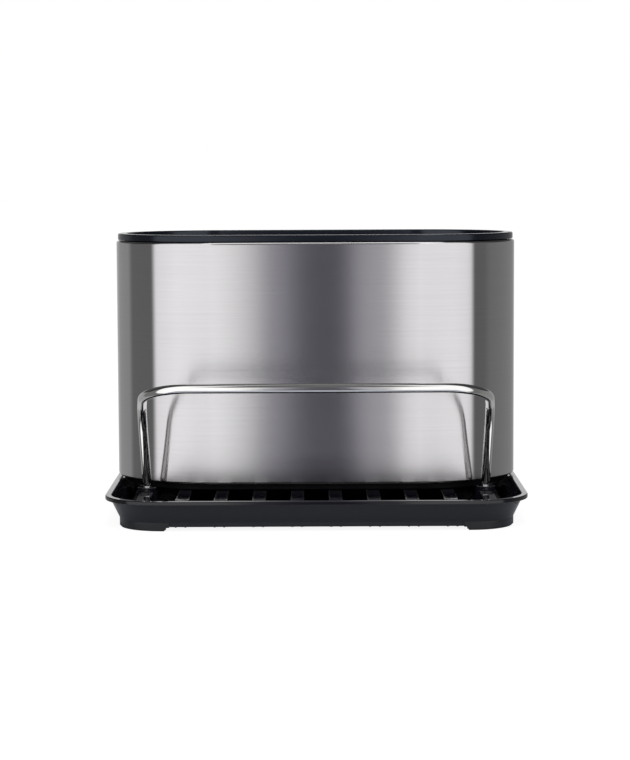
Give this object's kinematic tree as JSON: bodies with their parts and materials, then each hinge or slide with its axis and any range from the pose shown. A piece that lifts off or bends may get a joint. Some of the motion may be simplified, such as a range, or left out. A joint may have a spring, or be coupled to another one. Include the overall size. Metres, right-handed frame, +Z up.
{
  "type": "sink organizer",
  "caption": "Obround brushed steel caddy with a lift-out black liner, standing on the ribs of a black drip tray with a chrome rail for hanging a cloth.",
  "frame": {"origin": "on the ground, under the middle of the tray", "axes": "+X to the right along the long side, +Y to the back where the steel sleeve stands, +Z up"},
  "size_m": [0.2214, 0.168, 0.1508],
  "materials": {
    "brushed_steel": "horizontally brushed",
    "chrome": "polished chrome plate",
    "gloss_black_plastic": "gloss",
    "satin_black_plastic": "satin",
    "black_rubber": "matte"
  },
  "bodies": {
    "tray": {"drip_tray": "gloss_black_plastic", "foot_pad_front_left": "black_rubber", "foot_pad_front_right": "black_rubber", "foot_pad_back_left": "black_rubber", "foot_pad_back_right": "black_rubber", "rail_grommet_left": "black_rubber", "rail_grommet_right": "black_rubber"},
    "container": {"steel_sleeve": "brushed_steel", "sleeve_base": "satin_black_plastic"},
    "liner": {"liner": "satin_black_plastic"},
    "divider": {"divider": "satin_black_plastic"},
    "rail": {"hanging_rail": "chrome"}
  },
  "joints": [
    {"name": "container_lift", "type": "slide", "parent": "tray", "child": "container", "axis": [0, 0, 1], "range_m": [0, 0.06]},
    {"name": "liner_lift", "type": "slide", "parent": "container", "child": "liner", "axis": [0, 0, 1], "range_m": [0, 0.13]},
    {"name": "divider_lift", "type": "slide", "parent": "liner", "child": "divider", "axis": [0, 0, 1], "range_m": [0, 0.13]},
    {"name": "rail_lift", "type": "slide", "parent": "tray", "child": "rail", "axis": [0, 0, 1], "range_m": [0, 0.03]}
  ]
}
